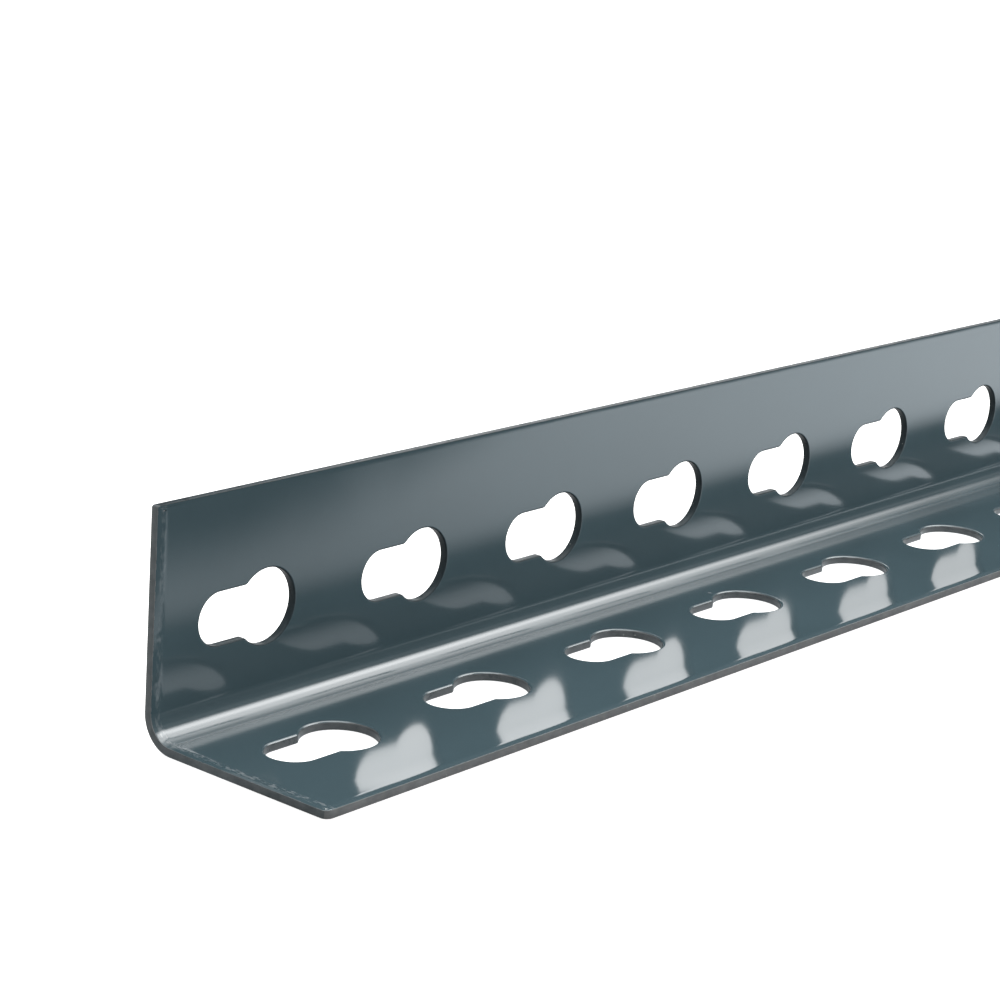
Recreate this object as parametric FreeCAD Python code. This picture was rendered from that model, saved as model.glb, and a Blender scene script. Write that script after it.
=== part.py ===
import FreeCAD, Part
import math
import os

# Slotted angle: one strip of sheet steel, punched with a row of keyholes in each leg and
# then folded along its middle into an even L. All sizes are in millimetres.
# X runs along the length, the flat leg lies on Z = 0 and reaches to the -Y side of the
# fold, and the upright leg stands at the +Y side. The origin is at the middle of the
# underside of the outer box.

# Stock and section
stock_length = 914.4
flat_leg_width = 40.0
upright_leg_height = 40.0
sheet_thickness = 1.5
inside_fold_radius = 3.0
outside_fold_radius = inside_fold_radius + sheet_thickness

# Sheared edges: the long free edges are eased, and the corners of the cut ends are
# rounded, more on the flat leg than on the upright one
edge_ease = 0.35
flat_corner_radius = 1.4
upright_corner_radius = 0.5

# Keyhole: a round lobe that a stud head passes, and a narrower slot with a round end
# that holds the stud's neck. The two run into each other over a small blend.
lobe_radius = 6.5
slot_half_width = 4.5
lobe_to_slot_centre = 10.7
neck_blend_radius = 1.0

# Rows of keyholes. The lobe points along +X. The rows start at the near cut end and hold
# as many keyholes as leave the least margin before the far one.
keyhole_pitch = 38.1
near_end_to_first_middle = 20.7
least_far_margin = 15.0
row_from_heel = 18.9

# Spare travel of the punch beyond each face of the sheet
punch_overrun = 1.0

keyhole_length = lobe_radius + lobe_to_slot_centre + slot_half_width
# The lobe's centre lies this far on the +X side of the keyhole's middle
lobe_offset = keyhole_length / 2 - lobe_radius

X_AXIS = FreeCAD.Vector(1, 0, 0)
Z_AXIS = FreeCAD.Vector(0, 0, 1)


def arc(start, middle, end):
    """Edge of a circular arc through three points."""
    return Part.Arc(start, middle, end).toShape()


def line(start, end):
    """Straight edge between two points."""
    return Part.LineSegment(start, end).toShape()


def on_circle(centre, radius, degrees):
    """Point of a circle in the XY plane, counted from +X towards +Y."""
    angle = math.radians(degrees)
    return centre + FreeCAD.Vector(radius * math.cos(angle), radius * math.sin(angle), 0)


def keyhole_outline():
    """Closed wire of one keyhole in the XY plane, with the lobe's centre at the origin."""
    lobe_centre = FreeCAD.Vector(0, 0, 0)
    slot_centre = FreeCAD.Vector(-lobe_to_slot_centre, 0, 0)
    reach = lobe_radius + neck_blend_radius
    rise = slot_half_width + neck_blend_radius
    blend_x = -math.sqrt(reach ** 2 - rise ** 2)
    turn = math.degrees(math.atan2(rise, -blend_x))
    upper_blend = FreeCAD.Vector(blend_x, rise, 0)
    lower_blend = FreeCAD.Vector(blend_x, -rise, 0)

    lobe_top = on_circle(lobe_centre, lobe_radius, 180 - turn)
    lobe_bottom = on_circle(lobe_centre, lobe_radius, turn - 180)
    flank_top = FreeCAD.Vector(blend_x, slot_half_width, 0)
    flank_bottom = FreeCAD.Vector(blend_x, -slot_half_width, 0)
    slot_top = on_circle(slot_centre, slot_half_width, 90)
    slot_bottom = on_circle(slot_centre, slot_half_width, -90)

    # The blends bow towards the slot's axis, half way between the flank and the lobe
    upper_middle = on_circle(upper_blend, neck_blend_radius, -90 + (90 - turn) / 2)
    lower_middle = on_circle(lower_blend, neck_blend_radius, 90 - (90 - turn) / 2)

    edges = [
        arc(lobe_bottom, on_circle(lobe_centre, lobe_radius, 0), lobe_top),
        arc(lobe_top, upper_middle, flank_top),
        line(flank_top, slot_top),
        arc(slot_top, on_circle(slot_centre, slot_half_width, 180), slot_bottom),
        line(slot_bottom, flank_bottom),
        arc(flank_bottom, lower_middle, lobe_bottom),
    ]
    return Part.Wire(edges)


def keyhole_punch():
    """Solid of one punch stroke along +Z, long enough to pass the sheet on both sides."""
    punch = Part.Face(keyhole_outline()).extrude(Z_AXIS * (sheet_thickness + 2 * punch_overrun))
    punch.translate(Z_AXIS * -punch_overrun)
    return punch


def angle_section():
    """Face of the folded section in the YZ plane, with its outside heel at the origin."""
    toe = -flat_leg_width
    top = upright_leg_height
    inner = sheet_thickness
    fold = outside_fold_radius
    ease = edge_ease
    slant = 1 - math.cos(math.radians(45))

    def at(y, z):
        return FreeCAD.Vector(0, y, z)

    edges = [
        line(at(-fold, 0), at(toe + ease, 0)),
        arc(at(toe + ease, 0), at(toe + ease * slant, ease * slant), at(toe, ease)),
        line(at(toe, ease), at(toe, inner - ease)),
        arc(at(toe, inner - ease), at(toe + ease * slant, inner - ease * slant), at(toe + ease, inner)),
        line(at(toe + ease, inner), at(-fold, inner)),
        arc(
            at(-fold, inner),
            at(-inner - inside_fold_radius * slant, inner + inside_fold_radius * slant),
            at(-inner, fold),
        ),
        line(at(-inner, fold), at(-inner, top - ease)),
        arc(at(-inner, top - ease), at(-inner + ease * slant, top - ease * slant), at(-inner + ease, top)),
        line(at(-inner + ease, top), at(-ease, top)),
        arc(at(-ease, top), at(-ease * slant, top - ease * slant), at(0, top - ease)),
        line(at(0, top - ease), at(0, fold)),
        arc(at(0, fold), at(-fold * slant, fold * slant), at(-fold, 0)),
    ]
    return Part.Face(Part.Wire(edges))


def corner_cutter(radius, x, toward_middle):
    """Prism that rounds a corner of a flat sheet in z from 0, with its free edge at y 0."""
    slant = 1 - math.cos(math.radians(45))

    def at(along, across):
        return FreeCAD.Vector(x + toward_middle * along, across, -punch_overrun)

    edges = [
        line(at(-punch_overrun, -punch_overrun), at(radius, -punch_overrun)),
        line(at(radius, -punch_overrun), at(radius, 0)),
        arc(at(radius, 0), at(radius * slant, radius * slant), at(0, radius)),
        line(at(0, radius), at(-punch_overrun, radius)),
        line(at(-punch_overrun, radius), at(-punch_overrun, -punch_overrun)),
    ]
    height = sheet_thickness + 2 * punch_overrun
    return Part.Face(Part.Wire(edges)).extrude(Z_AXIS * height)


def keyhole_middles():
    """Places along the stock, from its near end, of the middles of the keyholes."""
    run = stock_length - near_end_to_first_middle - least_far_margin
    count = int(run / keyhole_pitch) + 1
    return [near_end_to_first_middle + index * keyhole_pitch for index in range(count)]


def on_flat_leg(cutter, from_heel):
    """Copy of a cutter moved onto the flat leg, its y = 0 this far from the heel."""
    placed = cutter.copy()
    placed.translate(FreeCAD.Vector(0, -from_heel, 0))
    return placed


def on_upright_leg(cutter, from_heel):
    """Copy of a cutter stood up onto the upright leg, its y = 0 this far from the heel."""
    placed = cutter.copy()
    placed.rotate(FreeCAD.Vector(0, 0, 0), X_AXIS, -90)
    placed.translate(FreeCAD.Vector(0, -sheet_thickness, from_heel))
    return placed


def slotted_angle():
    """The whole part: folded stock, keyholes in both legs, rounded corners."""
    stock = angle_section().extrude(X_AXIS * stock_length)
    punch = keyhole_punch()
    cutters = []
    for middle in keyhole_middles():
        stroke = punch.copy()
        stroke.translate(X_AXIS * (middle + lobe_offset))
        cutters.append(on_flat_leg(stroke, row_from_heel))
        cutters.append(on_upright_leg(stroke, row_from_heel))
    for x, toward_middle in ((0, 1), (stock_length, -1)):
        flat_corner = corner_cutter(flat_corner_radius, x, toward_middle)
        cutters.append(on_flat_leg(flat_corner, flat_leg_width))
        upright_corner = corner_cutter(upright_corner_radius, x, toward_middle)
        cutters.append(on_upright_leg(upright_corner, upright_leg_height))
    part = stock.cut(Part.makeCompound(cutters)).Solids[0]
    part.translate(FreeCAD.Vector(-stock_length / 2, flat_leg_width / 2, 0))
    return part


os.makedirs("parts", exist_ok=True)
slotted_angle().exportStep("parts/slotted_angle.step")
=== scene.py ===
"""Slotted angle: a length of painted sheet steel folded into an even L, with a row of
keyholes punched along each leg.

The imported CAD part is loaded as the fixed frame. One finer mesh of the same shape stands for
it: its sheared ends roll over, its punched and long edges are rounded, and gloss enamel
covers all of it. Sizes inside the classes are in millimetres.
"""

import logging
import math
from dataclasses import dataclass, field
from enum import Enum
from typing import Callable

import bmesh
import bpy
from mathutils import Matrix, Vector, noise


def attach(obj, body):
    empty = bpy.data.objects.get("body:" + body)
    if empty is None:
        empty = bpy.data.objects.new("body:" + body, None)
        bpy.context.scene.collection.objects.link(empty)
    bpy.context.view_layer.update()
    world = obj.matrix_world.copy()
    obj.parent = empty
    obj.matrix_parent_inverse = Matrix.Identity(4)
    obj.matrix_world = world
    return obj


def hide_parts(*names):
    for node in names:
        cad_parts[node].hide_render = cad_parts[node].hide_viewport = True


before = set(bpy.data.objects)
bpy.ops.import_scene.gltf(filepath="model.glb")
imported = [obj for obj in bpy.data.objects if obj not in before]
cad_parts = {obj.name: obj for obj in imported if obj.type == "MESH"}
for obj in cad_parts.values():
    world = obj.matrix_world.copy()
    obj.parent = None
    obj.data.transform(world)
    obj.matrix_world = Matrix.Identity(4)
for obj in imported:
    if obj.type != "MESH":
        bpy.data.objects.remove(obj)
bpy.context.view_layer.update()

logging.basicConfig(level=logging.INFO, format="%(name)s: %(message)s")
log = logging.getLogger("slotted_angle")

MILLIMETRE = 0.001
CAD_NODE = "slotted_angle"
PIECE = "painted_angle"
BODY = "root"
# Places nearer to each other than this, in millimetres, count as one place
TOUCH = 0.01
# Shares of a face's normal along an axis: a face with less than the first stands up from
# the plane across that axis, and one with less than the second doesn't lie flat in it
STEEP = 0.6
LEVEL = 0.985

Span = tuple[float, float]
Triple = tuple[float, float, float]
Levels = tuple[tuple[float, float], ...]
Settings = tuple[tuple[str, float], ...]
Given = float | tuple[float, ...] | bpy.types.NodeSocket


class Leg(Enum):
    """The two legs of the angle."""

    FLAT = "flat"
    UPRIGHT = "upright"


class Surface(Enum):
    """Material slots of the mesh, in their order."""

    FACE = 0
    # SHEARED's pale grey is partly painted reflection of the bright floor
    SHEARED = 1
    # PUNCHED and PUNCHED_UPRIGHT are lighter and darker copies of one enamel: painted light and
    # painted shade
    PUNCHED = 2
    CUT_END = 3
    PUNCHED_UPRIGHT = 4


def open_edges(bm: bmesh.types.BMesh) -> list[bmesh.types.BMEdge]:
    """Edges of a mesh that have one face only."""
    return [edge for edge in bm.edges if edge.is_boundary]


def verts_of(
    items: list[bmesh.types.BMEdge] | list[bmesh.types.BMFace],
) -> list[bmesh.types.BMVert]:
    """Vertices of some edges or faces, each once and in the order of the items."""
    return list(dict.fromkeys(vert for item in items for vert in item.verts))


def only_edges(items: list) -> list[bmesh.types.BMEdge]:
    """The edges among what an operator gives back."""
    return [item for item in items if isinstance(item, bmesh.types.BMEdge)]


def order_by_place(bm: bmesh.types.BMesh) -> None:
    """Sorts a mesh's elements by place, because operators leave them in a chance order."""

    def settle(items: bmesh.types.BMElemSeq, place: Callable) -> None:
        """Sorts one kind of element by its place."""
        ranks = {item: rank for rank, item in enumerate(sorted(items, key=place))}
        items.sort(key=ranks.get)
        items.index_update()

    settle(bm.verts, lambda vert: tuple(vert.co))
    settle(bm.edges, lambda edge: sorted(vert.index for vert in edge.verts))
    settle(bm.faces, lambda face: sorted(vert.index for vert in face.verts))


def to_mesh(bm: bmesh.types.BMesh, name: str = "spare") -> bpy.types.Mesh:
    """Writes a bmesh into a new mesh and frees the bmesh."""
    mesh = bpy.data.meshes.new(name)
    bm.to_mesh(mesh)
    bm.free()
    return mesh


def link_object(name: str, data: bpy.types.ID) -> bpy.types.Object:
    """Puts a mesh, light or camera into the scene as a new object."""
    made = bpy.data.objects.new(name, data)
    bpy.context.scene.collection.objects.link(made)
    return made


def facing(place: Vector, target: Vector) -> Matrix:
    """Matrix of a light or card at a place that faces a target."""
    turn = (target - place).to_track_quat("-Z", "Y")
    return Matrix.Translation(place) @ turn.to_matrix().to_4x4()


@dataclass(frozen=True)
class Sheet:
    """Sizes of the folded stock."""

    length: float = 914.4
    leg_width: float = 40.0
    thickness: float = 1.5
    inside_fold_radius: float = 4.5

    @property
    def outside_fold_radius(self) -> float:
        """Radius of the fold on the outside of the angle."""
        return self.inside_fold_radius + self.thickness


@dataclass(frozen=True)
class EdgeShape:
    """Cross-section of an edge of the sheet, from its inside face to its outside face.

    The reach is how far the section goes into the sheet on both faces. The hold is the
    narrow flat strip next to each rounding, which keeps the faces' shading flat.
    """

    reach: float
    inside_round: float
    outside_round: float
    hold: float = 0.06
    inside_steps: int = 5
    outside_steps: int = 2
    wall_steps: int = 2

    def trace(self, bm: bmesh.types.BMesh, thickness: float) -> list[bmesh.types.BMEdge]:
        """Draws the section in the XZ plane, its wall on X = 0 and the sheet at +X.

        Args:
            bm: The mesh that gets the section.
            thickness: Thickness of the sheet.

        Returns:
            The section's edges.
        """
        before = set(bm.edges)
        pen = bm.verts.new((self.reach, 0.0, thickness))
        pen = self._draw_to(bm, pen, Vector((self.inside_round + self.hold, 0.0, thickness)))
        pen = self._draw_to(bm, pen, Vector((self.inside_round, 0.0, thickness)))
        centre = Vector((self.inside_round, 0.0, thickness - self.inside_round))
        pen = self._round(bm, pen, centre, self.inside_steps)
        fall = (thickness - self.inside_round - self.outside_round) / self.wall_steps
        for _ in range(self.wall_steps):
            pen = self._draw_to(bm, pen, pen.co - Vector((0.0, 0.0, fall)))
        centre = Vector((self.outside_round, 0.0, self.outside_round))
        pen = self._round(bm, pen, centre, self.outside_steps)
        pen = self._draw_to(bm, pen, Vector((self.outside_round + self.hold, 0.0, 0.0)))
        self._draw_to(bm, pen, Vector((self.reach, 0.0, 0.0)))
        return [edge for edge in bm.edges if edge not in before]

    @staticmethod
    def _draw_to(
        bm: bmesh.types.BMesh, pen: bmesh.types.BMVert, place: Vector
    ) -> bmesh.types.BMVert:
        """Extrudes one vertex to a place and returns the new vertex."""
        made = bmesh.ops.extrude_vert_indiv(bm, verts=[pen])
        made["verts"][0].co = place
        return made["verts"][0]

    @staticmethod
    def _round(
        bm: bmesh.types.BMesh, pen: bmesh.types.BMVert, centre: Vector, steps: int
    ) -> bmesh.types.BMVert:
        """Spins one vertex through a quarter turn and returns the last vertex."""
        made = bmesh.ops.spin(
            bm, geom=[pen], cent=centre, axis=(0.0, -1.0, 0.0), angle=math.radians(90), steps=steps
        )
        return next(item for item in made["geom_last"] if isinstance(item, bmesh.types.BMVert))


class Sweep:
    """A section that is carried along straight runs and round turns, leaving faces behind."""

    def __init__(self, bm: bmesh.types.BMesh, section: list[bmesh.types.BMEdge]) -> None:
        """Starts from a section.

        Args:
            bm: The mesh that the section is in.
            section: Its edges.
        """
        self.bm = bm
        self.section = section

    def run(self, way: Vector, steps: int = 1) -> "Sweep":
        """Carries the section along a straight line.

        Args:
            way: The whole way of the run.
            steps: How many rows of faces it leaves.

        Returns:
            This sweep.
        """
        for _ in range(steps):
            made = bmesh.ops.extrude_edge_only(self.bm, edges=self.section)["geom"]
            verts = [item for item in made if isinstance(item, bmesh.types.BMVert)]
            bmesh.ops.translate(self.bm, verts=verts, vec=way / steps)
            self.section = only_edges(made)
        return self

    def turn(
        self, centre: Vector, degrees: float, steps: int, axis: Vector = Vector((0, 0, 1))
    ) -> "Sweep":
        """Carries the section round an axis.

        Args:
            centre: A point of the axis.
            degrees: Angle of the turn.
            steps: How many rows of faces it leaves.
            axis: Direction of the axis.

        Returns:
            This sweep.
        """
        made = bmesh.ops.spin(
            self.bm,
            geom=verts_of(self.section) + self.section,
            cent=centre,
            axis=axis,
            angle=math.radians(degrees),
            steps=steps,
        )
        self.section = only_edges(made["geom_last"])
        return self


@dataclass(frozen=True)
class Keyhole:
    """One keyhole: a round lobe towards +X that runs into a slot with a round end."""

    lobe_radius: float = 6.5
    slot_half_width: float = 4.5
    centre_distance: float = 10.7
    neck_blend_radius: float = 1.0
    neck_steps: int = 5
    degrees_per_step: float = 7.5
    edge: EdgeShape = EdgeShape(reach=0.75, inside_round=0.5, outside_round=0.12)

    @property
    def lobe_offset(self) -> float:
        """How far the lobe's centre lies on the +X side of the keyhole's middle."""
        whole = self.lobe_radius + self.centre_distance + self.slot_half_width
        return whole / 2 - self.lobe_radius

    def punched_edge(self, thickness: float) -> bpy.types.Mesh:
        """Makes the edge of one keyhole: its roundings and its wall.

        Args:
            thickness: Thickness of the sheet.

        Returns:
            A spare mesh with the middle of the keyhole on the Z axis.
        """
        reach = self.lobe_radius + self.neck_blend_radius
        rise = self.slot_half_width + self.neck_blend_radius
        back = math.sqrt(reach**2 - rise**2)
        neck = math.degrees(math.atan2(rise, back))
        lobe_centre = Vector((self.lobe_offset, 0, 0))
        slot_centre = lobe_centre - Vector((self.centre_distance, 0, 0))
        flank = Vector((self.centre_distance - back, 0, 0))

        bm = bmesh.new()
        section = self.edge.trace(bm, thickness)
        start = lobe_centre + Vector((self.lobe_radius, 0, 0))
        bmesh.ops.translate(bm, verts=bm.verts, vec=start)
        sweep = Sweep(bm, section)
        sweep.turn(lobe_centre, 180 - neck, self._steps(180 - neck))
        sweep.turn(lobe_centre + Vector((-back, rise, 0)), neck - 90, self.neck_steps)
        sweep.run(-flank)
        sweep.turn(slot_centre, 180, self._steps(180))
        sweep.run(flank)
        sweep.turn(lobe_centre + Vector((-back, -rise, 0)), neck - 90, self.neck_steps)
        sweep.turn(lobe_centre, 180 - neck, self._steps(180 - neck))
        bmesh.ops.remove_doubles(bm, verts=bm.verts, dist=TOUCH)
        return to_mesh(bm)

    def _steps(self, degrees: float) -> int:
        """Number of facets for a turn, at least two."""
        return max(2, round(degrees / self.degrees_per_step))


@dataclass(frozen=True)
class KeyholeRow:
    """Where the keyholes lie along a leg and across it."""

    pitch: float = 38.1
    near_end_to_first_middle: float = 20.7
    count: int = 24
    from_heel: float = 18.9

    def middles(self) -> list[float]:
        """Distances of the keyholes' middles from the near cut end."""
        return [self.near_end_to_first_middle + index * self.pitch for index in range(self.count)]


@dataclass(frozen=True)
class RollOver:
    """The way the inside face dips towards a sheared edge, pulled down by the blade.

    A low bead may run along the inner side of the dip.
    """

    width: float
    ripple: float
    ripple_length: float = 1.7
    depth: float = 0.16
    power: float = 2.0
    steps: int = 8
    bead: float = 0.0
    bead_width: float = 0.0
    bead_steps: int = 0

    @property
    def cuts(self) -> list[float]:
        """Distances from the edge at which the face is divided, beyond the rim."""
        cuts = [self.width * step / self.steps for step in range(1, self.steps + 1)]
        for step in range(1, self.bead_steps + 1):
            cuts.append(self.width + self.bead_width * step / self.bead_steps)
        return cuts

    def dip(self, inset: float, across: float, seed: float) -> float:
        """Depth of the dip at a place.

        Args:
            inset: Distance from the edge.
            across: Distance along the edge.
            seed: Sets this edge's own ripple.

        Returns:
            The depth in millimetres.
        """
        rise = 0.0
        if self.bead:
            near = min(1.0, max(0.0, 1 - (inset - self.width) / self.bead_width))
            rise = self.bead * near**2
        if inset >= self.width:
            return -rise
        share = 1 - inset / self.width
        scaled = Vector((across / self.ripple_length, inset / self.ripple_length, seed))
        wave = self.ripple * math.sin(math.pi * math.sqrt(share)) ** 2
        return self.depth * share**self.power + wave * noise.noise(scaled) - rise


@dataclass(frozen=True)
class Bow:
    """The slight slope at which the inside face leaves the fold, and that soon dies out."""

    fold_slope: float = 1.5
    ease_length: float = 6.0

    def rise(self, from_fold: float) -> float:
        """Height of the inside face above its plane at a distance from the fold."""
        left = max(0.0, 1 - from_fold / self.ease_length)
        return math.tan(math.radians(self.fold_slope)) * self.ease_length / 2 * left**2

    def apply(self, bm: bmesh.types.BMesh, sheet: Sheet) -> None:
        """Bows a flat leg and the fold at its side.

        Args:
            bm: The mesh, with the heel on Y = 0.
            sheet: The stock.
        """
        radius, thickness = sheet.outside_fold_radius, sheet.thickness
        power = math.tan(math.radians(self.fold_slope)) * sheet.inside_fold_radius / self.rise(0.0)
        for vert in bm.verts:
            from_fold = -vert.co.y - radius
            if from_fold >= -TOUCH:
                share = min(1.0, vert.co.z / thickness)
                vert.co.z += share * self.rise(from_fold)
                continue
            arm = Vector((0, vert.co.y + radius, vert.co.z - radius))
            share = (radius - arm.length) / thickness
            turn = math.atan2(arm.y, -arm.z)
            inward = share * self.rise(0.0) * (1 - math.sin(turn)) ** power
            vert.co -= arm.normalized() * inward


@dataclass
class LegMesh:
    """One leg, made lying flat: the heel is on Y = 0, the free edge at -Y, the ends across X.

    It is open along the fold, where the two legs are joined. The seeds set the ripple of its
    sheared edges, and the drift changes that of the cut ends on the way across the leg.
    """

    leg: Leg
    corner_radius: float
    free_roll: RollOver
    free_seed: float
    seed_drift: float
    sheet: Sheet = field(default_factory=Sheet)
    keyhole: Keyhole = field(default_factory=Keyhole)
    row: KeyholeRow = field(default_factory=KeyholeRow)
    end_roll: RollOver = RollOver(
        width=1.7, ripple=0.03, ripple_length=0.9, bead=0.05, bead_width=0.8, bead_steps=4
    )
    end_seeds: Span = (3.7, 23.7)
    rim: EdgeShape = EdgeShape(reach=0.44, inside_round=0.09, outside_round=0.18)
    plain_strip: float = 0.12
    plain_steps: int = 1
    across_steps: int = 110
    steps_per_pitch: int = 6
    corner_steps: int = 6

    def build(self) -> bmesh.types.BMesh:
        """Makes the leg.

        Returns:
            A new mesh, in millimetres.
        """
        bm = bmesh.new()
        self._sweep_rim(bm)
        self._lay_end_strips(bm)
        self._punch_row(bm)
        self._fill_faces(bm)
        self._reach_fold(bm)
        self._divide_free_side(bm)
        self._roll_edges_over(bm)
        if self.leg is Leg.UPRIGHT:
            swap = Matrix(((1, 0, 0, 0), (0, 0, -1, 0), (0, -1, 0, 0), (0, 0, 0, 1)))
            bmesh.ops.transform(bm, matrix=swap, verts=bm.verts)
            bmesh.ops.reverse_faces(bm, faces=bm.faces)
        return bm

    @property
    def _fold_side(self) -> float:
        """Y of the leg's open side, before the plain strip up to the fold."""
        return -self.sheet.outside_fold_radius - self.plain_strip

    def _sweep_rim(self, bm: bmesh.types.BMesh) -> None:
        """Makes the sheared edge along the near end, the free edge and the far end."""
        length, width, radius = self.sheet.length, self.sheet.leg_width, self.corner_radius
        fold_side = self._fold_side
        section = self.rim.trace(bm, self.sheet.thickness)
        bmesh.ops.translate(bm, verts=verts_of(section), vec=(0, fold_side, 0))
        across = width - radius + fold_side
        sweep = Sweep(bm, section)
        sweep.run(Vector((0, -across, 0)), self.across_steps)
        sweep.turn(Vector((radius, radius - width, 0)), 90, self.corner_steps)
        sweep.run(Vector((length - 2 * radius, 0, 0)), self.row.count * self.steps_per_pitch)
        sweep.turn(Vector((length - radius, radius - width, 0)), 90, self.corner_steps)
        sweep.run(Vector((0, across, 0)), self.across_steps)
        for vert in verts_of(sweep.section):
            vert.co.y = fold_side

    def _lay_end_strips(self, bm: bmesh.types.BMesh) -> None:
        """Adds a finely divided strip of the inside face along each cut end."""
        limit = self.corner_radius - self.sheet.leg_width - TOUCH
        for end_x, way in ((self.rim.reach, 1.0), (self.sheet.length - self.rim.reach, -1.0)):
            edges = [
                edge
                for edge in bm.edges
                if edge.is_boundary
                and all(
                    abs(vert.co.x - end_x) < TOUCH
                    and abs(vert.co.z - self.sheet.thickness) < TOUCH
                    and vert.co.y > limit
                    for vert in edge.verts
                )
            ]
            span = self.end_roll.width + self.end_roll.bead_width - self.rim.reach
            steps = self.end_roll.steps + self.end_roll.bead_steps
            Sweep(bm, edges).run(Vector((way * span, 0, 0)), steps)

    def _punch_row(self, bm: bmesh.types.BMesh) -> None:
        """Makes the edges of all the keyholes."""
        edge = self.keyhole.punched_edge(self.sheet.thickness)
        edge.transform(Matrix.Translation((0, -self.row.from_heel, 0)))
        done = 0.0
        for middle in self.row.middles():
            edge.transform(Matrix.Translation((middle - done, 0, 0)))
            bm.from_mesh(edge)
            done = middle
        bpy.data.meshes.remove(edge)

    def _fill_faces(self, bm: bmesh.types.BMesh) -> None:
        """Closes the inside and outside faces between the rim, the keyholes and the fold."""
        for height in (self.sheet.thickness, 0.0):
            edges = [edge for edge in open_edges(bm) if self._on_face(edge, height)]
            corners = [vert for vert in bm.verts if self._on_fold_line(vert, height)]
            corners.sort(key=lambda vert: vert.co.x)
            middle = self.sheet.length / 2
            near = [vert for vert in corners if vert.co.x < middle][-1]
            far = [vert for vert in corners if vert.co.x > middle][0]
            line = bm.edges.new((near, far))
            cuts = self.row.count * self.steps_per_pitch - 1
            made = bmesh.ops.subdivide_edges(bm, edges=[line], cuts=cuts)
            edges = list(dict.fromkeys(edges + only_edges(made["geom"])))
            bmesh.ops.triangle_fill(
                bm, edges=edges, use_beauty=True, use_dissolve=False, normal=(0, 0, 1)
            )

    def _on_face(self, edge: bmesh.types.BMEdge, height: float) -> bool:
        """Whether an edge bounds the face at this height, away from the fold."""
        level = all(abs(vert.co.z - height) < TOUCH for vert in edge.verts)
        return level and not all(self._on_fold_line(vert, height) for vert in edge.verts)

    def _on_fold_line(self, vert: bmesh.types.BMVert, height: float) -> bool:
        """Whether a vertex lies on the open side at this height."""
        return abs(vert.co.z - height) < TOUCH and abs(vert.co.y - self._fold_side) < TOUCH

    def _reach_fold(self, bm: bmesh.types.BMesh) -> None:
        """Adds the plain strip that reaches up to where the fold starts."""
        Sweep(bm, open_edges(bm)).run(Vector((0, self.plain_strip, 0)), self.plain_steps)

    def _divide_free_side(self, bm: bmesh.types.BMesh) -> None:
        """Cuts the inside face into narrow strips along the free edge."""
        height = self.sheet.thickness
        for inset in self.free_roll.cuts:
            if inset < self.rim.reach + TOUCH:
                continue
            faces = [
                face
                for face in bm.faces
                if all(abs(vert.co.z - height) < TOUCH for vert in face.verts)
            ]
            edges = list(dict.fromkeys(edge for face in faces for edge in face.edges))
            bmesh.ops.bisect_plane(
                bm,
                geom=faces + edges + verts_of(faces),
                dist=TOUCH / 2,
                plane_co=(0, inset - self.sheet.leg_width, 0),
                plane_no=(0, 1, 0),
            )

    def _roll_edges_over(self, bm: bmesh.types.BMesh) -> None:
        """Lowers the inside face towards the cut ends and the free edge."""
        length, width = self.sheet.length, self.sheet.leg_width
        for vert in bm.verts:
            above_middle = 2 * vert.co.z / self.sheet.thickness - 1
            if above_middle <= 0:
                continue
            inset = min(vert.co.x, length - vert.co.x)
            seed = self.end_seeds[0 if vert.co.x < length / 2 else 1]
            seed -= self.seed_drift * (vert.co.y + self.sheet.outside_fold_radius)
            end_dip = self.end_roll.dip(max(inset, 0.0), -vert.co.y, seed)
            free_dip = self.free_roll.dip(max(width + vert.co.y, 0.0), vert.co.x, self.free_seed)
            deeper = max(end_dip, free_dip)
            dip = deeper if deeper > 0 else min(end_dip, free_dip)
            vert.co.z -= dip * above_middle


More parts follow.
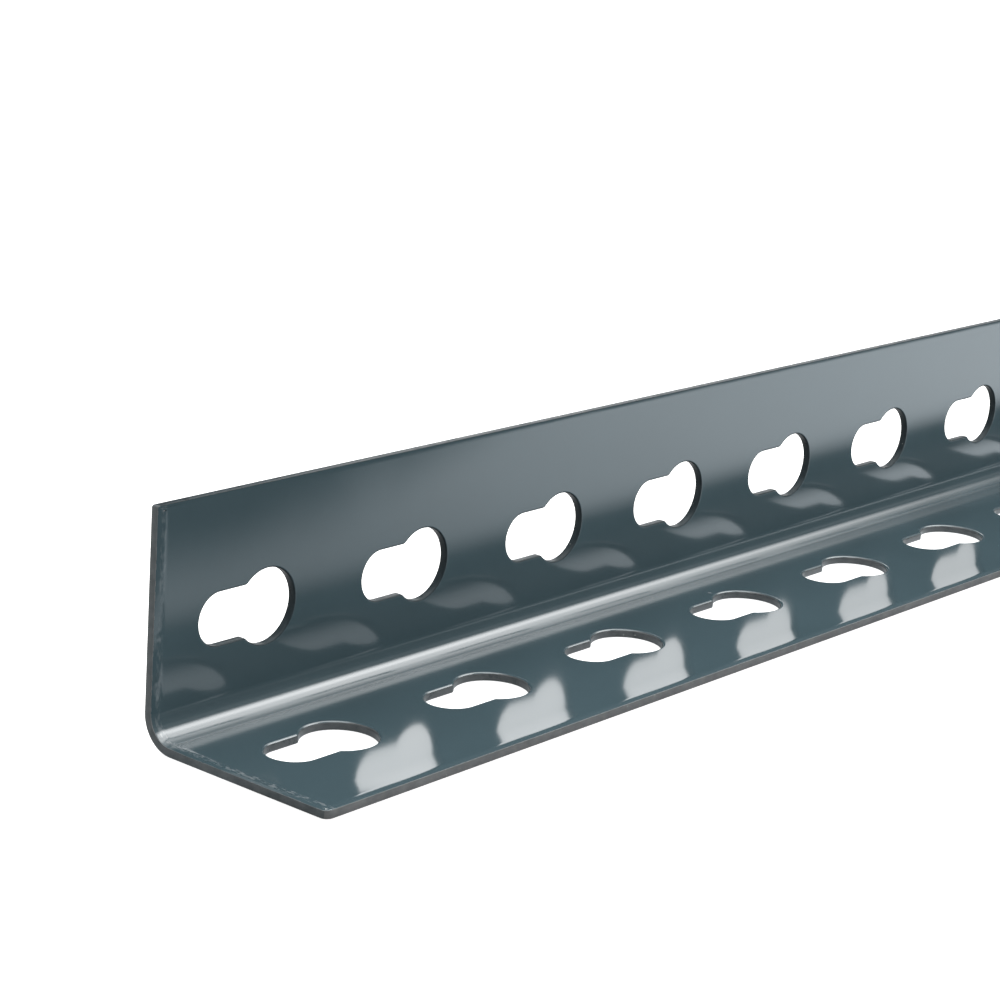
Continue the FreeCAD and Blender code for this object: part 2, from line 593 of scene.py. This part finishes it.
@dataclass
class AnglePiece:
    """The whole angle: two legs and the fold between them, as one closed mesh."""

    sheet: Sheet = field(default_factory=Sheet)
    flat: LegMesh = field(
        default_factory=lambda: LegMesh(
            Leg.FLAT,
            corner_radius=1.4,
            free_roll=RollOver(
                width=1.3,
                depth=0.11,
                power=1.5,
                ripple=0.006,
                ripple_length=6.0,
                bead=0.09,
                bead_width=4.6,
                bead_steps=10,
            ),
            free_seed=43.7,
            seed_drift=0.15,
            plain_strip=5.6,
            plain_steps=12,
        )
    )
    upright: LegMesh = field(
        default_factory=lambda: LegMesh(
            Leg.UPRIGHT,
            corner_radius=0.5,
            free_roll=RollOver(width=1.0, depth=0.035, steps=4, ripple=0.008),
            free_seed=49.1,
            seed_drift=-0.15,
            keyhole=Keyhole(edge=EdgeShape(reach=0.55, inside_round=0.3, outside_round=0.12)),
        )
    )
    bow: Bow = Bow()
    corner_reach: float = 1.5
    rim_reach: float = 0.13
    fold_steps: int = 32

    def build(self) -> bpy.types.Object:
        """Makes the piece in the CAD frame.

        Returns:
            The object, with its place in its mesh.
        """
        bm = self.flat.build()
        radius = self.sheet.outside_fold_radius
        centre = Vector((0, -radius, radius))
        Sweep(bm, open_edges(bm)).turn(centre, 90, self.fold_steps, axis=Vector((1, 0, 0)))
        self.bow.apply(bm, self.sheet)
        other = to_mesh(self.upright.build())
        bm.from_mesh(other)
        bpy.data.meshes.remove(other)
        order_by_place(bm)
        bmesh.ops.remove_doubles(bm, verts=bm.verts, dist=TOUCH)
        bmesh.ops.recalc_face_normals(bm, faces=bm.faces)
        self._sort_surfaces(bm)
        shift = Vector((-self.sheet.length / 2, self.sheet.leg_width / 2, 0))
        bmesh.ops.translate(bm, verts=bm.verts, vec=shift)
        bmesh.ops.scale(bm, verts=bm.verts, vec=(MILLIMETRE,) * 3)
        order_by_place(bm)
        bmesh.ops.triangulate(bm, faces=bm.faces)
        log.info("open edges: %d, triangles: %d", len(open_edges(bm)), len(bm.faces))
        mesh = to_mesh(bm, PIECE)
        mesh.shade_smooth()
        return link_object(PIECE, mesh)

    def _sort_surfaces(self, bm: bmesh.types.BMesh) -> None:
        """Gives the walls left by the shear and by the punch their own material slots."""
        fold = self.sheet.outside_fold_radius
        width, length = self.sheet.leg_width, self.sheet.length
        for face in bm.faces:
            normal, middle = face.normal, face.calc_center_median()
            wall = abs(normal.x) > STEEP
            wall = wall or (middle.y < -fold and abs(normal.z) < STEEP)
            wall = wall or (middle.z > fold and abs(normal.y) < LEVEL)
            end_inset = min(middle.x, length - middle.x)
            free_inset = min(width + middle.y, width - middle.z)
            if min(end_inset, free_inset) < self.rim_reach:
                wall = wall or max(abs(normal.y), abs(normal.z)) < LEVEL
            # Walls on each leg get their own copy of one enamel: painted light on the flat leg,
            # painted shade on the upright
            kind = Surface.PUNCHED_UPRIGHT if middle.z > fold else Surface.PUNCHED
            if end_inset < self.corner_reach and abs(normal.y) < STEEP:
                kind = Surface.CUT_END
            elif min(end_inset, width + middle.y) < self.corner_reach:
                kind = Surface.SHEARED
            face.material_index = (kind if wall else Surface.FACE).value


class Wiring:
    """Adds nodes to one tree. A node's input is given a value or another node's socket."""

    def __init__(self, tree: bpy.types.ShaderNodeTree) -> None:
        """Keeps the tree that gets the nodes."""
        self.tree = tree

    def feed(self, socket: bpy.types.NodeSocket, given: Given) -> None:
        """Links a socket to another one, or sets its own value."""
        if isinstance(given, bpy.types.NodeSocket):
            self.tree.links.new(given, socket)
        else:
            socket.default_value = given

    def add(
        self, kind: str, output: str, inputs: dict[str | int, Given], **settings: str
    ) -> bpy.types.NodeSocket:
        """Adds one node.

        Args:
            kind: Its type, without the first word that all shader nodes share.
            output: The output that is wanted.
            inputs: What its inputs are given, by name or by number.
            settings: Its own settings, which are made first.

        Returns:
            The socket of that output.
        """
        node = self.tree.nodes.new("ShaderNode" + kind)
        for name, value in settings.items():
            setattr(node, name, value)
        for name, given in inputs.items():
            self.feed(node.inputs[name], given)
        return node.outputs[output]

    def math(self, operation: str, *given: Given) -> bpy.types.NodeSocket:
        """Adds a Math node."""
        return self.add("Math", "Value", dict(enumerate(given)), operation=operation)

    def span(
        self,
        place: bpy.types.NodeSocket,
        ends: Span,
        low: Given = 0.0,
        high: Given = 1.0,
        shape: str = "LINEAR",
    ) -> bpy.types.NodeSocket:
        """Adds the node that turns a value between two ends into one from low to high.

        Args:
            place: The socket of the value.
            ends: The values that give low and high.
            low: What the first end gives.
            high: What the last end gives.
            shape: The curve between them.

        Returns:
            The socket of the result.
        """
        inputs = {"Value": place, "From Min": ends[0], "From Max": ends[1]}
        inputs |= {"To Min": low, "To Max": high}
        return self.add("MapRange", "Result", inputs, interpolation_type=shape)

    def noise(
        self, place: bpy.types.NodeSocket, scale: Given, detail: float, roughness: float = 0.5
    ) -> bpy.types.NodeSocket:
        """Adds a Noise Texture node.

        Args:
            place: The socket of the place.
            scale: Its scale.
            detail: How many finer layers it has.
            roughness: How strong these are.

        Returns:
            The socket of its value.
        """
        inputs = {"Vector": place, "Scale": scale, "Detail": detail, "Roughness": roughness}
        return self.add("TexNoise", "Fac", inputs)

    def axes(self, place: bpy.types.NodeSocket) -> list[bpy.types.NodeSocket]:
        """Splits a place into its X, Y and Z."""
        node = self.tree.nodes.new("ShaderNodeSeparateXYZ")
        self.feed(node.inputs["Vector"], place)
        return list(node.outputs)

    def level(self, place: bpy.types.NodeSocket, levels: Levels) -> bpy.types.NodeSocket:
        """Adds the nodes that turn a place along an axis into a level.

        Args:
            place: The socket of the place.
            levels: Places in rising order, each with its level.

        Returns:
            The socket of the level.
        """
        start, end = levels[0][0], levels[-1][0]
        top = max(level for _, level in levels)
        ramp = self.tree.nodes.new("ShaderNodeValToRGB")
        while len(ramp.color_ramp.elements) < len(levels):
            ramp.color_ramp.elements.new(0.5)
        for stop, (at, level) in zip(ramp.color_ramp.elements, levels):
            stop.position = (at - start) / (end - start)
            stop.color = (level / top, level / top, level / top, 1)
        self.feed(ramp.inputs["Fac"], self.span(place, (start, end)))
        return self.math("MULTIPLY", ramp.outputs["Color"], top)


@dataclass(frozen=True)
class PaintFilm:
    """The paint film, as a node group in metres on the CAD frame's axes.

    Its outputs change over the surface: Tone runs from 0 to 1 over broad soft clouds. Speck
    marks grains of dust, and flecks of painted highlight in a strip along each cut end. Fold
    marks the inside of the fold. Height is the uneven film, with the slight rise of the flat
    leg's inside face towards its free edge and the slight swell of the upright leg's.

    A strip is given by its middle and by how far it reaches to each side.
    """

    inputs: Settings = (
        ("Cloud Scale", 30.0),
        ("Peel Scale", 700.0),
        ("Peel Height", 1.5e-6),
        ("Speck Scale", 260.0),
        ("Speck Share", 0.0),
        ("Hollow Slope", 0.0),
        # Fleck Share sets how strong the flecks of painted highlight are
        ("Fleck Share", 0.0),
        ("Swell Height", 0.0),
    )
    cloud_ends: Span = (0.3, 0.7)
    cloud_detail: float = 3.0
    cloud_roughness: float = 0.6
    grain_rim: Span = (0.16, 0.08)
    peel_detail: float = 2.0
    streak_height: float = 1.0e-6
    streak_tilt: float = math.radians(28)
    streak_scale: Triple = (1300.0, 900.0, 260.0)
    # The flecks are painted highlight along each cut end: their strip, noise and thresholds, and
    # how they fade above the flat leg
    fleck_strip: Span = (0.4558, 0.0006)
    fleck_scale: Triple = (1900.0, 750.0, 750.0)
    fleck_detail: float = 3.0
    fleck_ends: Span = (0.47, 0.68)
    fleck_fade: Span = (0.002, 0.005)
    fleck_share_above: float = 0.3
    flat_inside_strip: Span = (0.0019, 0.0011)
    hollow_start: float = 0.010
    hollow_ease: float = 0.006
    upright_inside_strip: Span = (0.0178, 0.0011)
    swell_ends: Span = (0.0065, 0.0165)
    fold_ends_y: Span = (0.0105, 0.0150)
    fold_ends_z: Span = (0.0075, 0.0050)

    def build(self) -> bpy.types.ShaderNodeTree:
        """Makes the group.

        Returns:
            The group, with its scales, shares and heights as inputs.
        """
        tree = bpy.data.node_groups.new("paint_film", "ShaderNodeTree")
        kind = "NodeSocketFloat"
        for name, value in self.inputs:
            socket = tree.interface.new_socket(name=name, in_out="INPUT", socket_type=kind)
            socket.default_value = value
        for name in ("Tone", "Speck", "Fold", "Height"):
            tree.interface.new_socket(name=name, in_out="OUTPUT", socket_type=kind)
        given = tree.nodes.new("NodeGroupInput")
        result = tree.nodes.new("NodeGroupOutput")
        wiring = Wiring(tree)
        place = wiring.add("TexCoord", "Object", {})
        _, y, z = wiring.axes(place)

        scale = given.outputs["Cloud Scale"]
        cloud = wiring.noise(place, scale, self.cloud_detail, self.cloud_roughness)
        near_heel = wiring.span(y, self.fold_ends_y, shape="SMOOTHSTEP")
        low = wiring.span(z, self.fold_ends_z, shape="SMOOTHSTEP")
        wiring.feed(result.inputs["Tone"], wiring.span(cloud, self.cloud_ends))
        wiring.feed(result.inputs["Speck"], self._specks(wiring, given, place))
        wiring.feed(result.inputs["Fold"], wiring.math("MULTIPLY", near_heel, low))
        wiring.feed(result.inputs["Height"], self._height(wiring, given, place))
        return tree

    def _specks(
        self, wiring: Wiring, given: bpy.types.Node, place: bpy.types.NodeSocket
    ) -> bpy.types.NodeSocket:
        """Adds the grains of dust and the flecks of painted highlight.

        Args:
            wiring: Of the group.
            given: The node of its inputs.
            place: The socket of the place.

        Returns:
            The socket of their mask.
        """
        grains = wiring.tree.nodes.new("ShaderNodeTexVoronoi")
        wiring.feed(grains.inputs["Vector"], place)
        wiring.feed(grains.inputs["Scale"], given.outputs["Speck Scale"])
        chance = wiring.add("SeparateColor", "Red", {"Color": grains.outputs["Color"]})
        rare = wiring.math("LESS_THAN", chance, given.outputs["Speck Share"])
        small = wiring.span(grains.outputs["Distance"], self.grain_rim)
        speck = wiring.math("MULTIPLY", rare, small)

        # Flecks of painted highlight in a strip along each cut end, fainter above the flat leg
        x, _, z = wiring.axes(place)
        strip = wiring.math("COMPARE", wiring.math("ABSOLUTE", x), *self.fleck_strip)
        drawn = wiring.add("Mapping", "Vector", {"Vector": place, "Scale": self.fleck_scale})
        glint_noise = wiring.noise(drawn, 1.0, self.fleck_detail)
        painted_glint_flecks = wiring.span(glint_noise, self.fleck_ends, high=given.outputs["Fleck Share"])
        fade = wiring.span(z, self.fleck_fade, low=1.0, high=self.fleck_share_above)
        return wiring.math("MULTIPLY_ADD", wiring.math("MULTIPLY", strip, fade), painted_glint_flecks, speck)

    def _height(
        self, wiring: Wiring, given: bpy.types.Node, place: bpy.types.NodeSocket
    ) -> bpy.types.NodeSocket:
        """Adds the uneven film, the rise of the flat leg and the swell of the upright one.

        Args:
            wiring: Of the group.
            given: The node of its inputs.
            place: The socket of the place.

        Returns:
            The socket of their height.
        """
        peel = wiring.noise(place, given.outputs["Peel Scale"], self.peel_detail)
        rise = wiring.math("MULTIPLY", peel, given.outputs["Peel Height"])
        turn = (0.0, self.streak_tilt, 0.0)
        inputs = {"Vector": place, "Rotation": turn, "Scale": self.streak_scale}
        streaks = wiring.noise(wiring.add("Mapping", "Vector", inputs), 1.0, self.peel_detail)
        height = wiring.math("MULTIPLY_ADD", streaks, self.streak_height, rise)

        _, y, z = wiring.axes(place)
        flat = wiring.math("COMPARE", z, *self.flat_inside_strip)
        beyond = wiring.math("SUBTRACT", self.hollow_start, y)
        eased = wiring.math("SMOOTH_MAX", beyond, 0.0, self.hollow_ease)
        sloped = wiring.math("MULTIPLY", eased, given.outputs["Hollow Slope"])
        height = wiring.math("MULTIPLY_ADD", sloped, flat, height)

        upright = wiring.math("COMPARE", y, *self.upright_inside_strip)
        top = given.outputs["Swell Height"]
        swell = wiring.span(z, self.swell_ends, high=top, shape="SMOOTHSTEP")
        return wiring.math("MULTIPLY_ADD", swell, upright, height)


@dataclass(frozen=True)
class Enamel:
    """Gloss enamel over steel, with the settings of its film."""

    name: str
    dark: Triple
    light: Triple
    # Colour of the grains of dust and of the flecks of painted highlight
    dust_and_glint: Triple
    roughness: Span
    film: Settings
    fold_dulling: float = 0.06
    ior: float = 1.6

    def build(self, film: bpy.types.ShaderNodeTree) -> bpy.types.Material:
        """Makes the material.

        Args:
            film: The node group of the paint film.

        Returns:
            The material.
        """
        material = bpy.data.materials.new(self.name)
        material.use_nodes = True
        tree = material.node_tree
        shader = tree.nodes["Principled BSDF"]
        shader.inputs["IOR"].default_value = self.ior
        coat = tree.nodes.new("ShaderNodeGroup")
        coat.node_tree = film
        for name, value in self.film:
            coat.inputs[name].default_value = value

        wiring = Wiring(tree)
        tone, mask = coat.outputs["Tone"], coat.outputs["Speck"]
        paint = {"Factor": tone, "A": (*self.dark, 1), "B": (*self.light, 1)}
        colour = wiring.add("Mix", "Result", paint, data_type="RGBA")
        # Grains of dust and flecks of painted highlight share one colour
        dust_and_glint_mix = {"Factor": mask, "A": colour, "B": (*self.dust_and_glint, 1)}
        colour = wiring.add("Mix", "Result", dust_and_glint_mix, data_type="RGBA")
        wiring.feed(shader.inputs["Base Color"], colour)

        gloss = wiring.span(tone, (0.0, 1.0), *self.roughness)
        dull = wiring.math("MULTIPLY_ADD", coat.outputs["Fold"], self.fold_dulling, gloss)
        wiring.feed(shader.inputs["Roughness"], dull)
        bumps = {"Height": coat.outputs["Height"], "Distance": 1.0}
        wiring.feed(shader.inputs["Normal"], wiring.add("Bump", "Normal", bumps))
        return material


def wall_film(peel_height: float, speck_share: float) -> Settings:
    """Settings of the film on a sheared or punched wall, which is grainier than a face's."""
    return (
        ("Cloud Scale", 420.0),
        ("Peel Scale", 1500.0),
        ("Peel Height", peel_height),
        ("Speck Scale", 900.0),
        ("Speck Share", speck_share),
    )


SHEARED_FILM = wall_film(peel_height=1.2e-5, speck_share=0.08)
PUNCHED_FILM = wall_film(peel_height=0.8e-5, speck_share=0.05)

ENAMEL = {
    Surface.FACE: Enamel(
        name="gloss_enamel",
        dark=(0.0350, 0.0560, 0.0650),
        light=(0.0385, 0.0615, 0.0715),
        # Colour of dust grains and of the flecks of painted highlight along the cut ends
        dust_and_glint=(0.125, 0.145, 0.155),
        roughness=(0.075, 0.105),
        film=(
            ("Speck Share", 0.002),
            ("Hollow Slope", 0.028),
            # Flecks of painted highlight along the cut ends, on the faces only
            ("Fleck Share", 1.0),
            ("Swell Height", 0.0003),
        ),
    ),
    # Walls along the flat leg's free edge and roundings next to the cut ends: rough thin enamel
    # whose pale grey is partly its own colour and partly painted reflection of the bright floor in
    # front
    Surface.SHEARED: Enamel(
        name="enamel_over_shear_marks_with_painted_floor_light",
        dark=(0.088, 0.094, 0.097),
        light=(0.125, 0.131, 0.133),
        dust_and_glint=(0.18, 0.19, 0.19),
        roughness=(0.3, 0.5),
        film=SHEARED_FILM,
        ior=1.16,
    ),
    Surface.CUT_END: Enamel(
        name="enamel_over_cut_ends",
        dark=(0.050, 0.060, 0.064),
        light=(0.086, 0.096, 0.100),
        dust_and_glint=(0.16, 0.17, 0.17),
        roughness=(0.3, 0.5),
        film=SHEARED_FILM,
        ior=1.25,
    ),
    # Keyhole walls of the flat leg: a lighter copy of the upright's wall enamel, painted light
    Surface.PUNCHED: Enamel(
        name="enamel_with_painted_light_in_flat_keyholes",
        dark=(0.046, 0.053, 0.056),
        light=(0.076, 0.083, 0.086),
        dust_and_glint=(0.17, 0.18, 0.18),
        roughness=(0.25, 0.45),
        film=PUNCHED_FILM,
        ior=1.35,
    ),
    # Keyhole walls and top edge of the upright leg: a darker copy of the flat leg's keyhole
    # enamel, painted shade
    Surface.PUNCHED_UPRIGHT: Enamel(
        name="enamel_with_painted_shade_on_upright_walls",
        dark=(0.014, 0.020, 0.023),
        light=(0.024, 0.033, 0.037),
        dust_and_glint=(0.10, 0.11, 0.11),
        roughness=(0.25, 0.45),
        film=PUNCHED_FILM,
        ior=1.16,
    ),
}


@dataclass(frozen=True)
class ViewPoint:
    """The photograph's camera: its place in millimetres, its angles in radians."""

    place: Triple = (-735.535, -274.123, 153.996)
    yaw: float = 0.890597
    pitch: float = 0.266219
    roll: float = -0.069057
    focal_length: float = 97.3655
    sensor: float = 36.0
    clip: Span = (0.01, 50.0)

    def build(self) -> bpy.types.Object:
        """Makes the camera and makes it the scene's own."""
        data = bpy.data.cameras.new("photo_camera")
        data.sensor_width = self.sensor
        data.lens = self.focal_length
        data.clip_start, data.clip_end = self.clip
        camera = link_object("photo_camera", data)
        camera.matrix_world = (
            Matrix.Translation(Vector(self.place) * MILLIMETRE)
            @ Matrix.Rotation(-self.yaw, 4, "Z")
            @ Matrix.Rotation(math.pi / 2 - self.pitch, 4, "X")
            @ Matrix.Rotation(-self.roll, 4, "Z")
        )
        bpy.context.scene.camera = camera
        return camera


@dataclass(frozen=True)
class SoftBox:
    """A rectangular soft light that the camera does not see, nor the gloss unless it is set."""

    name: str
    place: Triple
    target: Triple
    size: Span
    radiance: float
    in_gloss: bool = True

    def build(self) -> bpy.types.Object:
        """Makes the light."""
        data = bpy.data.lights.new(self.name, "AREA")
        data.shape = "RECTANGLE"
        data.size, data.size_y = self.size
        data.energy = self.radiance * math.pi * self.size[0] * self.size[1]
        light = link_object(self.name, data)
        light.matrix_world = facing(Vector(self.place), Vector(self.target))
        light.visible_camera = False
        light.visible_glossy = self.in_gloss
        return light


def flat_card(name: str, low: Vector, high: Vector) -> bpy.types.Object:
    """Makes a card that shows in reflections only.

    Args:
        name: Of the card.
        low: Its corner with the lowest X and Y.
        high: The corner across from it, at the same height.

    Returns:
        The object.
    """
    bm = bmesh.new()
    bmesh.ops.create_grid(bm, x_segments=1, y_segments=1, size=0.5)
    bmesh.ops.scale(bm, verts=bm.verts, vec=(high.x - low.x, high.y - low.y, 1))
    bmesh.ops.translate(bm, verts=bm.verts, vec=(low + high) / 2)
    card = link_object(name, to_mesh(bm, name))
    card.visible_camera = False
    card.visible_diffuse = False
    card.visible_transmission = False
    card.visible_volume_scatter = False
    card.visible_shadow = False
    return card


def glow_paint(card: bpy.types.Object, tint: Triple = (1.0, 1.0, 1.0)) -> Wiring:
    """Gives a card a material that glows.

    Args:
        card: The card.
        tint: Colour of the glow.

    Returns:
        The wiring of the material. Its node named Emission still needs its Strength.
    """
    material = bpy.data.materials.new(card.name)
    material.use_nodes = True
    tree = material.node_tree
    tree.nodes.clear()
    glow = tree.nodes.new("ShaderNodeEmission")
    glow.inputs["Color"].default_value = (*tint, 1)
    out = tree.nodes.new("ShaderNodeOutputMaterial")
    tree.links.new(glow.outputs["Emission"], out.inputs["Surface"])
    card.data.materials.append(material)
    return Wiring(tree)


@dataclass(frozen=True)
class GlowCard:
    """A card that glows unevenly and is seen in the gloss only.

    Along runs to the right and across runs up for someone behind the card who looks at its
    target. Both give places from the middle of the card, in metres, and reach its edges.
    """

    name: str
    place: Triple
    target: Triple
    along: Levels
    across: Levels

    def build(self) -> bpy.types.Object:
        """Makes the card."""
        low = Vector((self.along[0][0], self.across[0][0], 0))
        high = Vector((self.along[-1][0], self.across[-1][0], 0))
        card = flat_card(self.name, low, high)
        card.matrix_world = facing(Vector(self.place), Vector(self.target))
        wiring = glow_paint(card)
        x, y, _ = wiring.axes(wiring.add("TexCoord", "Object", {}))
        along, across = wiring.level(x, self.along), wiring.level(y, self.across)
        strength = wiring.tree.nodes["Emission"].inputs["Strength"]
        wiring.feed(strength, wiring.math("MULTIPLY", along, across))
        return card


@dataclass(frozen=True)
class FloorSheen:
    """The lit floor in front of the angle as its gloss shows it.

    It brightens along the angle, and stays dark beyond a slanting edge before the near end.
    Places are in metres on the floor, in the CAD frame.
    """

    name: str = "floor_sheen"
    near_x: float = -0.56
    far_x: float = 1.20
    back_y: float = 0.021
    front_y: float = -3.0
    height: float = -0.0001
    tint: Triple = (0.93, 1.0, 1.05)
    levels: Levels = (
        (-0.38, 1.00),
        (-0.34, 1.22),
        (-0.28, 1.70),
        (-0.20, 2.05),
        (-0.08, 2.30),
        (0.20, 2.45),
    )
    # Share of light across the angle, with painted shade of the angle on the floor just beside its
    # free edge and under the flat leg
    beside_edge: Levels = (
        (-0.130, 0.06),
        (-0.095, 1.06),
        (-0.0375, 1.03),
        (-0.0315, 0.92),
        (-0.0278, 0.60),
        (-0.0235, 0.20),
        (-0.0050, 0.10),
        (-0.0030, 0.26),
        (-0.0012, 0.62),
        (0.0015, 0.95),
        (0.0210, 0.95),
    )
    shade_corner: Span = (-0.357, -0.0510)
    shade_slope: float = -0.41
    shade_softness: float = 0.036
    shade_level: float = 0.05

    def build(self) -> bpy.types.Object:
        """Makes the sheen."""
        low = Vector((self.near_x, self.front_y, self.height))
        sheen = flat_card(self.name, low, Vector((self.far_x, self.back_y, self.height)))
        wiring = glow_paint(sheen, self.tint)
        x, y, _ = wiring.axes(wiring.add("TexCoord", "Object", {}))
        along, across = wiring.level(x, self.levels), wiring.level(y, self.beside_edge)
        lit = wiring.math("MULTIPLY", along, across)
        strength = wiring.tree.nodes["Emission"].inputs["Strength"]
        wiring.feed(strength, wiring.math("MULTIPLY", lit, self._shade_edge(wiring, x, y)))
        return sheen

    def _shade_edge(
        self, wiring: Wiring, x: bpy.types.NodeSocket, y: bpy.types.NodeSocket
    ) -> bpy.types.NodeSocket:
        """Makes the mask of the shade, which lies in front of two lines that meet in a corner.

        Args:
            wiring: Of the sheen's material.
            x: The socket of the place along the angle.
            y: The socket of the place across it.

        Returns:
            The socket of the share of light that is left.
        """
        corner_x, corner_y = self.shade_corner
        slanted = wiring.math("MULTIPLY_ADD", x, -self.shade_slope, y)
        from_corner = wiring.math("ADD", slanted, self.shade_slope * corner_x)
        nearer = wiring.math("SMOOTH_MAX", y, from_corner, self.shade_softness)
        half = self.shade_softness / 2
        ends = (corner_y - half, corner_y + half)
        return wiring.span(nearer, ends, low=self.shade_level, shape="SMOOTHSTEP")


@dataclass(frozen=True)
class Studio:
    """Pale floor and plain soft light."""

    floor_size: float = 12.0
    floor_drop: float = 0.0002
    floor_divisions: int = 8
    floor_grey: float = 0.5
    floor_roughness: float = 0.9
    floor_glow: float = 0.93
    sky: float = 0.45
    lights: tuple[SoftBox, ...] = (
        SoftBox(
            "front_softbox",
            place=(0.0, -0.75, 0.35),
            target=(-0.257, 0.0, 0.0),
            size=(0.50, 0.40),
            radiance=7.4,
            in_gloss=False,
        ),
        SoftBox(
            "overhead_softbox",
            place=(-0.2, 0.2, 1.6),
            target=(-0.1, 0.0, 0.0),
            size=(2.4, 1.6),
            radiance=5.0,
        ),
    )
    cards: tuple[GlowCard, ...] = (
        GlowCard(
            "back_card",
            place=(1.239, 1.08, 0.60),
            target=(-0.43, 0.02, 0.02),
            along=((-0.37, 1.24), (0.37, 2.70), (0.372, 0.05), (1.20, 0.05)),
            across=((-0.475, 1.0), (0.475, 1.0)),
        ),
        GlowCard(
            "front_shade",
            place=(1.0, -2.0, 0.63),
            target=(1.0, 0.0, 0.63),
            along=((-3.5, 0.1), (3.5, 0.1)),
            across=((-0.62, 1.0), (0.62, 1.0)),
        ),
        GlowCard(
            "strip_card",
            place=(0.40, -0.257, 0.647),
            target=(0.40, 0.016, 0.003),
            along=(
                (-0.55, 11.0),
                (-0.13, 11.0),
                (0.0, 9.5),
                (0.19, 7.0),
                (0.32, 4.8),
                (0.44, 2.2),
                (0.60, 0.6),
            ),
            across=(
                (-0.30, 0.0),
                (-0.24, 0.04),
                (-0.20, 0.24),
                (-0.15, 0.60),
                (-0.10, 0.86),
                (-0.05, 1.0),
                (0.03, 0.98),
                (0.10, 0.66),
                (0.36, 0.56),
                (0.60, 0.36),
                (0.95, 0.32),
            ),
        ),
    )
    sheen: FloorSheen = FloorSheen()

    def build(self) -> None:
        """Makes the floor and the light."""
        divisions = self.floor_divisions
        bm = bmesh.new()
        bmesh.ops.create_grid(
            bm, x_segments=divisions, y_segments=divisions, size=self.floor_size / 2
        )
        bmesh.ops.translate(bm, verts=bm.verts, vec=(0, 0, -self.floor_drop))
        floor = link_object("studio_floor", to_mesh(bm, "studio_floor"))
        floor.data.materials.append(self._floor_paint())
        for maker in (*self.lights, *self.cards, self.sheen):
            log.info("%s set up", maker.build().name)
        self._sky()
        bpy.context.scene.view_settings.view_transform = "Standard"

    def _floor_paint(self) -> bpy.types.Material:
        """Makes the floor's pale paint, which hides most of the shade from the camera."""
        material = bpy.data.materials.new("floor_paint")
        material.use_nodes = True
        wiring = Wiring(material.node_tree)
        shader = wiring.tree.nodes["Principled BSDF"]
        shader.inputs["Base Color"].default_value = (*(self.floor_grey,) * 3, 1)
        shader.inputs["Roughness"].default_value = self.floor_roughness
        shader.inputs["Emission Color"].default_value = (1, 1, 1, 1)
        seen = wiring.add("LightPath", "Is Camera Ray", {})
        glow = wiring.math("MULTIPLY", seen, self.floor_glow)
        wiring.feed(shader.inputs["Emission Strength"], glow)
        return material

    def _sky(self) -> None:
        """Makes the world: white to the camera, dimmer as light."""
        world = bpy.data.worlds.new("studio_light")
        world.use_nodes = True
        wiring = Wiring(world.node_tree)
        backdrop = wiring.tree.nodes["Background"]
        backdrop.inputs["Color"].default_value = (1, 1, 1, 1)
        seen = wiring.add("LightPath", "Is Camera Ray", {})
        wiring.feed(backdrop.inputs["Strength"], wiring.span(seen, (0.0, 1.0), low=self.sky))
        bpy.context.scene.world = world


def main() -> None:
    """Builds the piece, dresses it and sets the studio round it."""
    piece = AnglePiece().build()
    film = PaintFilm().build()
    for surface in Surface:
        piece.data.materials.append(ENAMEL[surface].build(film))
    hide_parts(CAD_NODE)
    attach(piece, BODY)
    log.info("%s stands for %s", piece.name, CAD_NODE)
    Studio().build()
    ViewPoint().build()


if __name__ == "__main__":
    main()
